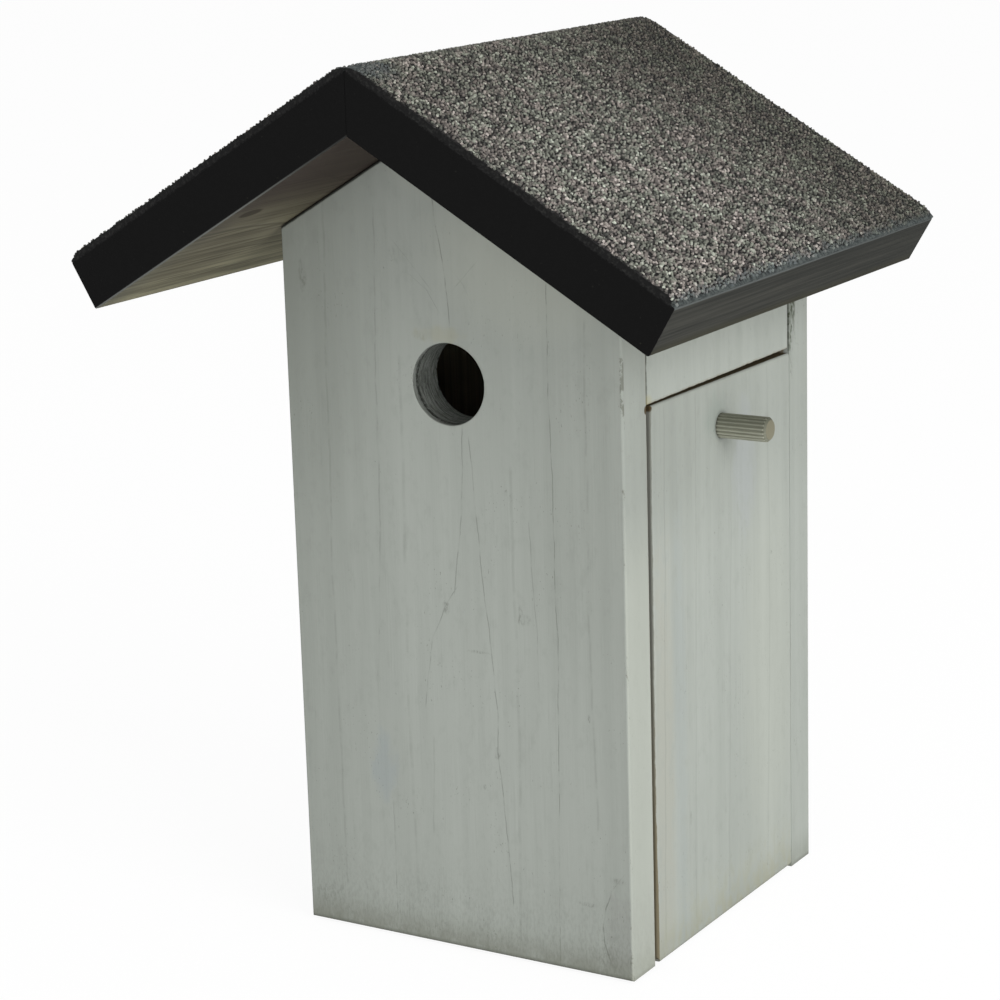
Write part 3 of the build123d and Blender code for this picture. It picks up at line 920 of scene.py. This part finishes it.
def felt_line(side, thickness, first=0.0):
    """Points of the felt's top from the eave to the ridge, as x and z, from a
    distance up the slope, thinned towards the eave."""
    points = []
    full = (EAVES[side] + (ROOF_BOARD + thickness) * math.sin(ROOF_PITCH)) / math.cos(ROOF_PITCH)
    up = first
    while up < full:
        layer = ROOF_BOARD + FELT_LIP + (thickness - FELT_LIP) * min(1.0, up / FELT_BEVEL)
        x = EAVES[side] + layer * math.sin(ROOF_PITCH) - up * math.cos(ROOF_PITCH)
        if x < LAST_STEP:
            break
        points.append((side * x, roof_layer(x, layer)))
        near = up < FELT_BEVEL or x < FINE_NEAR_RIDGE
        up += FINE_STEP if near else FELT_STEP
    points.append((0.0, roof_layer(0.0, ROOF_BOARD + thickness)))
    return points


def felt_sheet():
    """The sheet itself, closed, its front and rear edges cut a little unevenly."""
    section = felt_line(-1, FELT_BASE) + felt_line(1, FELT_BASE)[-2::-1]
    rows = [ROOF_FRONT]
    while rows[-1] < ROOF_BACK - FELT_STEP * 1.5:
        rows.append(rows[-1] + FELT_STEP)
    rows.append(ROOF_BACK)
    last = len(rows) - 1
    end = len(section) - 1
    shape = bmesh.new()
    top, bottom = [], []
    for count, (x, z) in enumerate(section):
        under_x = x
        if count in (0, end):
            side = 1 if x > 0 else -1
            under_x = side * (EAVES[side] + ROOF_BOARD * math.sin(ROOF_PITCH))
        under_z = roof_layer(under_x, ROOF_BOARD)
        top_line, bottom_line = [], []
        for y in rows:
            wave = noise.noise(Vector((x * FELT_WAVES, y * FELT_WAVES, 0))) * FELT_WAVE
            back = 0.0
            if y in (rows[0], rows[-1]):
                cut = noise.noise(Vector((x * CUT_WAVES[0], y * CUT_WAVES[1], CUT_LAYER)))
                back = abs(cut) * EDGE_WOBBLE * (1 if y == rows[0] else -1)
            top_line.append(shape.verts.new((x, y + back, z + wave - FELT_SINK)))
            bottom_line.append(shape.verts.new((under_x, y, under_z)))
        top.append(top_line)
        bottom.append(bottom_line)
    for i in range(end):
        for j in range(last):
            shape.faces.new((top[i][j], top[i + 1][j], top[i + 1][j + 1], top[i][j + 1]))
            shape.faces.new((bottom[i][j + 1], bottom[i + 1][j + 1], bottom[i + 1][j], bottom[i][j]))
        shape.faces.new((bottom[i][0], bottom[i + 1][0], top[i + 1][0], top[i][0]))
        shape.faces.new((top[i][last], top[i + 1][last], bottom[i + 1][last], bottom[i][last]))
    for j in range(last):
        shape.faces.new((top[0][j], top[0][j + 1], bottom[0][j + 1], bottom[0][j]))
        shape.faces.new((bottom[end][j], bottom[end][j + 1], top[end][j + 1], top[end][j]))
    mesh = bpy.data.meshes.new("felt_sheet")
    shape.to_mesh(mesh)
    shape.free()
    made = bpy.data.objects.new("felt_sheet", mesh)
    bpy.context.scene.collection.objects.link(made)
    return made


felt_bitumen, tree, place = new_material("felt_bitumen")
across, deep, height = axes_of(tree, place)
rough = grain_noise(tree, place, (800.0, 800.0, 800.0), (0, 0, 0), 5.0)
colour = blended(tree, between(tree, rough, 0.45, 0.7, 0.0, 0.35), FELT_BLACK, FELT_DUSTY)
rubbed = spot(
    tree, across, deep, swing_of(tree, rough, 3.0), (BARE_MIDDLE[0] * 1000, BARE_MIDDLE[1] * 1000),
    (BARE_HALF[0] * 1000 * RUBBED_WIDER, BARE_HALF[1] * 1000 * RUBBED_LONGER),
)
rubbed = product_of(tree, rubbed, between(tree, deep, ROOF_FRONT + 0.0006, ROOF_FRONT + 0.0014))
to_eave = sum_of(tree, either_way(tree, across), product_of(tree, rough, 0.004))
worn = larger_of(tree, rubbed, between(tree, to_eave, 0.1312, 0.1327, 0.0, 0.95))
bare = blended(tree, between(tree, rough, 0.42, 0.6), FELT_BARE_DARK, FELT_BARE)
colour = laid_over(tree, colour, bare, worn, 0.9)
wood_surface(tree, colour, rough, roughness=0.8, depth=0.0004, sheen=0.15)

sheet = felt_sheet()
sheet.data.materials.append(felt_bitumen)
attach(sheet, "box")
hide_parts("roof_felt")

# The mineral is strewn as five-sided chips, worn back unevenly along the eaves
# and gone from a rubbed patch at the front of the ridge.
CHIP_SPACING = 0.00106
CHIP_LENGTH = 0.00165
CHIP_MOST = 2000000.0
CHIP_SIDES = 5
CHIP_TOP = 0.31
CHIP_BASE = 0.5
CHIP_DEPTH = 0.5
CHIP_LEAST = (0.65, 0.5, 0.6)
CHIP_LARGEST = (1.25, 0.95, 1.0)
CHIP_LEAN = 0.38
FULL_TURN = 6.283
SIZE_SEED = 11
TURN_SEED = 12
TONE_SEEDS = {"chip_tone": 13, "chip_tint": 14}
CHIP_BED = 0.0002
BED_STEP = 0.0018
PATCH_WAVES = 260.0
PATCH_RAGGED = 1.1
PATCH_CORE = 0.45
EAVE_WAVES = 330.0
EAVE_WORN = 0.0009
EAVE_BARE = 0.0005
EDGE_BARE = 0.0007
STRETCHES = 3
FIRST_SEED = 40
SEED_STEP = 7
CHIP_TONES = (
    (0.0, tone(50, 50, 49)),
    (0.25, tone(99, 98, 95)),
    (0.6, tone(135, 134, 129)),
    (0.9, tone(170, 169, 164)),
    (1.0, tone(216, 216, 211)),
)
CHIP_GREEN = tone(243, 250, 238)
CHIP_PINK = tone(255, 243, 241)
FELT_FILM = tone(92, 101, 103)
FILM_PLACE = ((3.0, -134.0), (8.0, 12.0))
REAR_PAINTED_SHADE = tone(172, 172, 166)
RIDGE_PAINTED_SHADE = tone(216, 216, 213)

felt_mineral, tree, place = new_material("felt_mineral")
across, deep, height = axes_of(tree, place)
pick = part_node(tree, "ShaderNodeAttribute", attribute_name="chip_tone").outputs["Fac"]
tint = part_node(tree, "ShaderNodeAttribute", attribute_name="chip_tint").outputs["Fac"]
shade = part_node(tree, "ShaderNodeValToRGB", {0: pick})
ramp = shade.color_ramp.elements
ramp[0].position = CHIP_TONES[0][0]
ramp[1].position = CHIP_TONES[-1][0]
for position, _ in CHIP_TONES[1:-1]:
    ramp.new(position)
for element, (_, chip_colour) in zip(ramp, CHIP_TONES):
    element.color = chip_colour
patch = grain_noise(tree, place, (130.0, 130.0, 130.0), (0, 0, 0), 2.0)
mixed = sum_of(tree, product_of(tree, patch, 0.8), product_of(tree, tint, 0.2))
stone = blended(tree, between(tree, mixed, 0.4, 0.6), CHIP_GREEN, CHIP_PINK)
colour = blended(tree, 1.0, shade.outputs[0], stone, "MULTIPLY")
smear = grain_noise(tree, place, (260.0, 260.0, 260.0), (3, 3, 3), 3.0)
from_front = difference_of(tree, difference_of(tree, deep, ROOF_FRONT), product_of(tree, smear, 0.008))
colour = blended(tree, between(tree, from_front, -0.0034, -0.0022, 0.85, 0.0), colour, END_PAINT)
film = spot(tree, across, deep, swing_of(tree, smear, 4.0), *FILM_PLACE)
colour = laid_over(tree, colour, FELT_FILM, film, 0.75)
wide = either_way(tree, across)
to_eave = sum_of(tree, wide, product_of(tree, smear, 0.006))
colour = blended(tree, between(tree, to_eave, 0.1305, 0.1335, 0.0, 0.7), colour, FELT_FILM)
# Painted shade darkens the mineral towards the rear and along the ridge.
colour = blended(tree, between(tree, deep, -0.07, 0.07), colour, REAR_PAINTED_SHADE, "MULTIPLY")
colour = blended(tree, between(tree, wide, 0.0, 0.08, 1.0, 0.0), colour, RIDGE_PAINTED_SHADE, "MULTIPLY")
shader = part_node(
    tree, "ShaderNodeBsdfPrincipled", {"Base Color": colour, "Roughness": 0.65, "Specular IOR Level": 0.4},
)
part_node(tree, "ShaderNodeOutputMaterial", {"Surface": shader.outputs[0]})


def vector_of(tree, operation, first, second):
    """One step of arithmetic on two vectors."""
    return part_node(tree, "ShaderNodeVectorMath", {0: first, 1: second}, operation=operation).outputs[0]


def exceeds(tree, first, second):
    """Whether one value is greater than another."""
    return part_node(
        tree, "FunctionNodeCompare", {0: first, 1: second}, data_type="FLOAT", operation="GREATER_THAN",
    ).outputs[0]


def mineral_tree():
    """Geometry nodes that strew chips of mineral over a surface, leaving a worn
    patch and an uneven line along the eave bare."""
    tree = bpy.data.node_groups.new("strewn_mineral", "GeometryNodeTree")
    sockets = tree.interface
    sockets.new_socket("Surface", in_out="INPUT", socket_type="NodeSocketGeometry")
    sizes = {
        "Spacing": CHIP_SPACING, "Chip length": CHIP_LENGTH, "Most per area": CHIP_MOST, "Eave": felt_high.x,
    }
    places = {"Patch middle": (*BARE_MIDDLE, 0), "Patch half size": (*BARE_HALF, 1)}
    for kind, named in (("NodeSocketFloat", sizes), ("NodeSocketVector", places)):
        for name, value in named.items():
            sockets.new_socket(name, in_out="INPUT", socket_type=kind).default_value = value
    sockets.new_socket("Seed", in_out="INPUT", socket_type="NodeSocketInt")
    sockets.new_socket("Chips", in_out="OUTPUT", socket_type="NodeSocketGeometry")
    given = part_node(tree, "NodeGroupInput").outputs
    where = part_node(tree, "GeometryNodeInputPosition").outputs[0]

    off = vector_of(tree, "SUBTRACT", vector_of(tree, "MULTIPLY", where, (1, 1, 0)), given["Patch middle"])
    far = vector_of(tree, "DIVIDE", off, given["Patch half size"])
    reach = part_node(tree, "ShaderNodeVectorMath", {0: far}, operation="LENGTH").outputs["Value"]
    ragged = part_node(tree, "ShaderNodeTexNoise", {"Vector": where, "Scale": PATCH_WAVES}).outputs["Fac"]
    limit = sum_of(tree, product_of(tree, ragged, PATCH_RAGGED), PATCH_CORE)
    off_patch = exceeds(tree, reach, limit)
    gnawed = part_node(tree, "ShaderNodeTexNoise", {"Vector": where, "Scale": EAVE_WAVES, "Detail": 3.0})
    room = difference_of(tree, given["Eave"], either_way(tree, axes_of(tree, where)[0]))
    need = part_node(
        tree, "ShaderNodeMapRange",
        {"Value": gnawed.outputs["Fac"], "From Min": 0.35, "From Max": 0.65,
         "To Min": 0.0, "To Max": EAVE_WORN},
    )
    off_eave = exceeds(tree, room, need.outputs[0])
    covered = part_node(tree, "FunctionNodeBooleanMath", {0: off_patch, 1: off_eave}, operation="AND")
    strewn = part_node(
        tree, "GeometryNodeDistributePointsOnFaces",
        {"Mesh": given["Surface"], "Selection": covered.outputs[0], "Distance Min": given["Spacing"],
         "Density Max": given["Most per area"], "Seed": given["Seed"]},
        distribute_method="POISSON",
    )

    chip = part_node(
        tree, "GeometryNodeMeshCone",
        {"Vertices": CHIP_SIDES, "Radius Top": CHIP_TOP, "Radius Bottom": CHIP_BASE, "Depth": CHIP_DEPTH},
    )
    size = part_node(
        tree, "FunctionNodeRandomValue",
        {"Min": CHIP_LEAST, "Max": CHIP_LARGEST, "Seed": SIZE_SEED}, data_type="FLOAT_VECTOR",
    )
    turn = part_node(
        tree, "FunctionNodeRandomValue",
        {"Min": (-CHIP_LEAN, -CHIP_LEAN, 0.0), "Max": (CHIP_LEAN, CHIP_LEAN, FULL_TURN), "Seed": TURN_SEED},
        data_type="FLOAT_VECTOR",
    )
    scale = part_node(
        tree, "ShaderNodeVectorMath", {0: size.outputs[0], "Scale": given["Chip length"]}, operation="SCALE",
    )
    spin = part_node(tree, "FunctionNodeEulerToRotation", {0: turn.outputs[0]})
    lean = part_node(
        tree, "FunctionNodeRotateRotation",
        {"Rotation": strewn.outputs["Rotation"], "Rotate By": spin.outputs[0]}, rotation_space="LOCAL",
    )
    chips = part_node(
        tree, "GeometryNodeInstanceOnPoints",
        {"Points": strewn.outputs["Points"], "Instance": chip.outputs["Mesh"],
         "Rotation": lean.outputs[0], "Scale": scale.outputs[0]},
    )
    made = chips.outputs[0]
    for name, seed in TONE_SEEDS.items():
        draw = part_node(tree, "FunctionNodeRandomValue", {2: 0.0, 3: 1.0, "Seed": seed}, data_type="FLOAT")
        made = part_node(
            tree, "GeometryNodeStoreNamedAttribute",
            {"Geometry": made, "Name": name, "Value": draw.outputs[1]}, data_type="FLOAT", domain="INSTANCE",
        ).outputs[0]
    real = part_node(tree, "GeometryNodeRealizeInstances", {"Geometry": made})
    dressed = part_node(
        tree, "GeometryNodeSetMaterial", {"Geometry": real.outputs[0], "Material": felt_mineral},
    )
    part_node(tree, "NodeGroupOutput", {"Chips": dressed.outputs[0]})
    return tree


def strew(name, side, start, end, seed):
    """The chips on one stretch of one slope, as a plain mesh."""
    line = felt_line(side, FELT_BASE, EAVE_BARE)
    rows = round((end - start) / BED_STEP)
    points, faces = [], []
    for x, z in line:
        points += [(x, start + (end - start) * row / rows, z - CHIP_BED) for row in range(rows + 1)]
    for column in range(len(line) - 1):
        for row in range(rows):
            a = column * (rows + 1) + row
            b, c, d = a + 1, a + rows + 2, a + rows + 1
            faces.append((a, b, c, d) if side > 0 else (d, c, b, a))
    bed = bpy.data.meshes.new(name)
    bed.from_pydata(points, [], faces)
    holder = bpy.data.objects.new(name, bed)
    bpy.context.scene.collection.objects.link(holder)
    modifier = holder.modifiers.new("mineral", "NODES")
    modifier.node_group = mineral
    given = {"Seed": seed, "Eave": max(abs(x) for x, z in line)}
    for item in mineral.interface.items_tree:
        if item.item_type == "SOCKET" and item.name in given:
            modifier[item.identifier] = given[item.name]
    graph = bpy.context.evaluated_depsgraph_get()
    chips = bpy.data.meshes.new_from_object(holder.evaluated_get(graph))
    holder.modifiers.remove(modifier)
    holder.data = chips
    chips.name = name
    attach(holder, "box")


mineral = mineral_tree()
stretch = (ROOF_BACK - ROOF_FRONT - 2 * EDGE_BARE) / STRETCHES
for side, side_name in ((-1, "left"), (1, "right")):
    for count in range(STRETCHES):
        start = ROOF_FRONT + EDGE_BARE + count * stretch
        seed = FIRST_SEED + side + SEED_STEP * count
        strew(f"felt_mineral_{side_name}_{count + 1}", side, start, start + stretch, seed)
